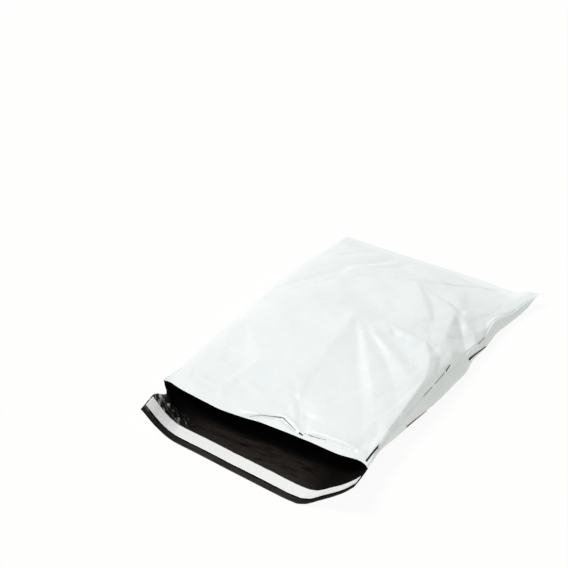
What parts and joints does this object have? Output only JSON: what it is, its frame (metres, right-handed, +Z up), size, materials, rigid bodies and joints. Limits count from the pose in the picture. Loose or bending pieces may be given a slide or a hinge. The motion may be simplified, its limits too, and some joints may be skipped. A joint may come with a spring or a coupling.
{
  "type": "poly mailer bag",
  "caption": "White plastic film courier bag, black inside, lying open on its back panel with a flap that carries an adhesive strip under a release liner.",
  "frame": {"origin": "on the floor under the middle of the bag's outline", "axes": "+X across the mouth to the bag's right, +Y from the flap to the folded bottom, +Z up"},
  "size_m": [0.301, 0.5212, 0.0608],
  "materials": {
    "white_film": "satin white film with a black inner face",
    "adhesive": "tacky, slightly yellow",
    "liner": "satin white liner with fine cross creases"
  },
  "bodies": {
    "root": {"film_bag": "white_film", "adhesive_strip": "adhesive", "release_liner": "liner"}
  },
  "joints": []
}
